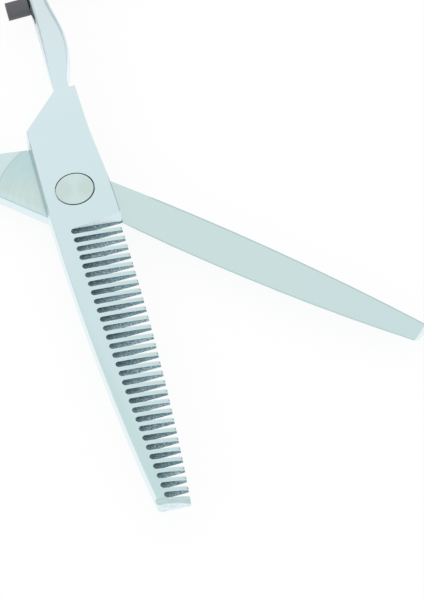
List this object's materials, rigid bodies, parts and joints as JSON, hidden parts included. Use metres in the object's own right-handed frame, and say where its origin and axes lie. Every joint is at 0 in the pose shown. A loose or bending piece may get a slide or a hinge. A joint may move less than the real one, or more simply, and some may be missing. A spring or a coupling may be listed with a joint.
{
  "type": "thinning shears",
  "caption": "Hair thinning shears: a toothed comb blade and a plain cutting blade on a flush pivot with a tension dial, with finger rings and a finger rest.",
  "frame": {"origin": "on the pivot axis, at the flat outer face of the pivot screw's head, flush with the comb blade's outer face", "axes": "+Y from the pivot to the comb blade's tip, +Z out of the comb blade's outer face, +X towards the comb blade's spine"},
  "size_m": [0.1215, 0.17, 0.008],
  "materials": {
    "satin_steel": "satin, finely ground",
    "screw_steel": "brushed round the head",
    "washer_steel": "ground",
    "spring_steel": "blued satin",
    "ball_steel": "polished",
    "brass": "turned",
    "washer_plastic": "plain",
    "dial_steel": "polished, fluted edge",
    "rest_steel": "polished",
    "insert_rubber": "soft matte",
    "bumper_rubber": "soft matte"
  },
  "bodies": {
    "comb": {"comb_member": "satin_steel", "pivot_screw": "screw_steel", "pressure_washer": "washer_steel", "spring_washer": "spring_steel", "click_plate": "washer_steel", "cap_screw": "washer_steel", "finger_insert": "insert_rubber", "bumper": "bumper_rubber", "finger_rest": "rest_steel"},
    "cutter": {"cutting_member": "satin_steel", "ride_washer": "washer_plastic", "pivot_bush": "brass", "bearing_race": "washer_steel", "ball_cage": "brass", "bearing_balls": "ball_steel", "thumb_insert": "insert_rubber"},
    "dial": {"tension_dial": "dial_steel", "dial_nut": "brass"}
  },
  "joints": [
    {"name": "blade_pivot", "type": "hinge", "parent": "comb", "child": "cutter", "pos_m": [0, 0, 0], "axis": [0, 0, 1], "range_deg": [-44, 46]},
    {"name": "dial_turn", "type": "hinge", "parent": "comb", "child": "dial", "pos_m": [0, 0, 0], "axis": [0, 0, 1], "range_deg": [-90, 90]}
  ]
}
